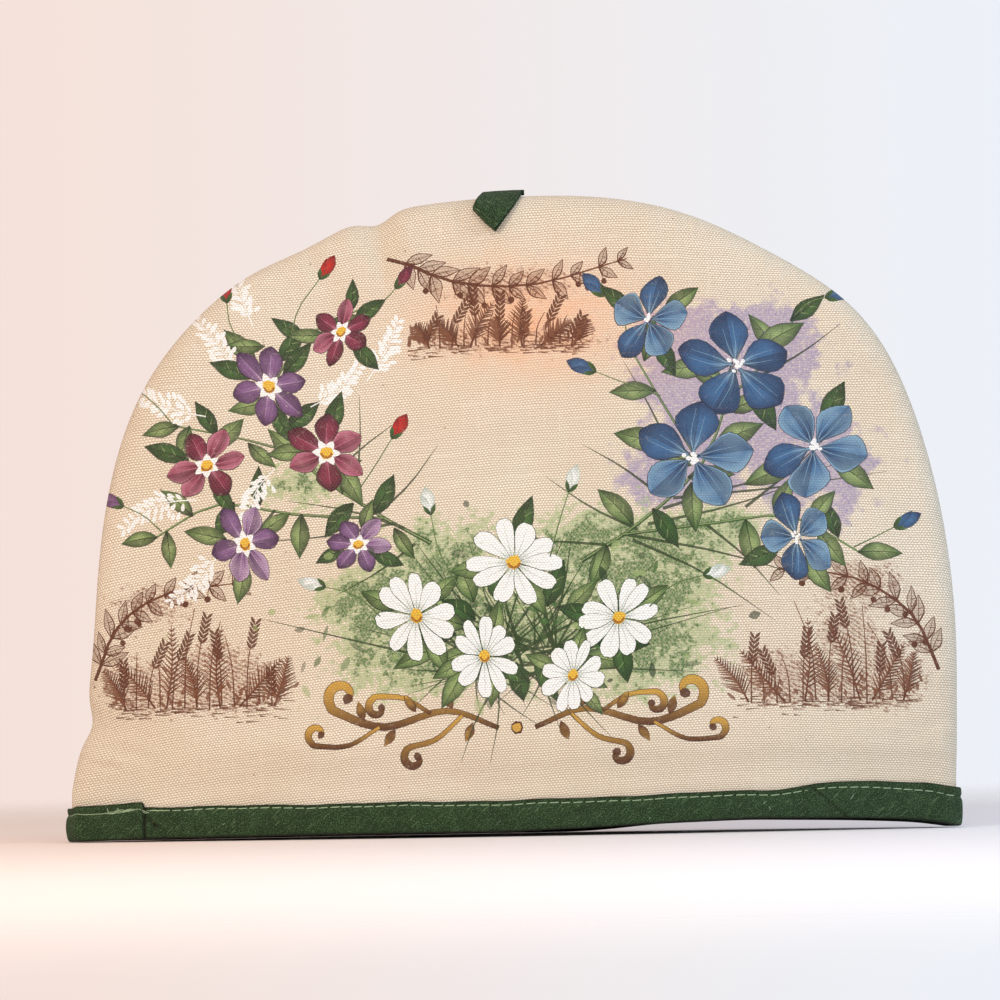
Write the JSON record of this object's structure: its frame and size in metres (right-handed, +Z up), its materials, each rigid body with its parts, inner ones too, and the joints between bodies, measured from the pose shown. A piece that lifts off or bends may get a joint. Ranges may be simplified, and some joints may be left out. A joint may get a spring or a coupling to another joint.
{
  "type": "padded tea cosy",
  "caption": "Padded dome-shaped tea cosy in printed canvas, open at the bottom, with a bound hem and a small hanging loop at the top.",
  "frame": {"origin": "on the surface that the hem stands on, under the middle of the cosy", "axes": "+X along the hem to the front's right, -Y out of the printed front, +Z up to the hanging loop"},
  "size_m": [0.3501, 0.0781, 0.2521],
  "materials": {
    "printed_canvas": "matt plain-weave cotton canvas with a flower print",
    "plain_canvas": "matt plain-weave cotton canvas",
    "green_binding": "matt twill bias binding"
  },
  "bodies": {
    "root": {"front_panel": "printed_canvas", "back_panel": "plain_canvas", "hem_binding": "green_binding", "hanging_loop": "green_binding"}
  },
  "joints": []
}
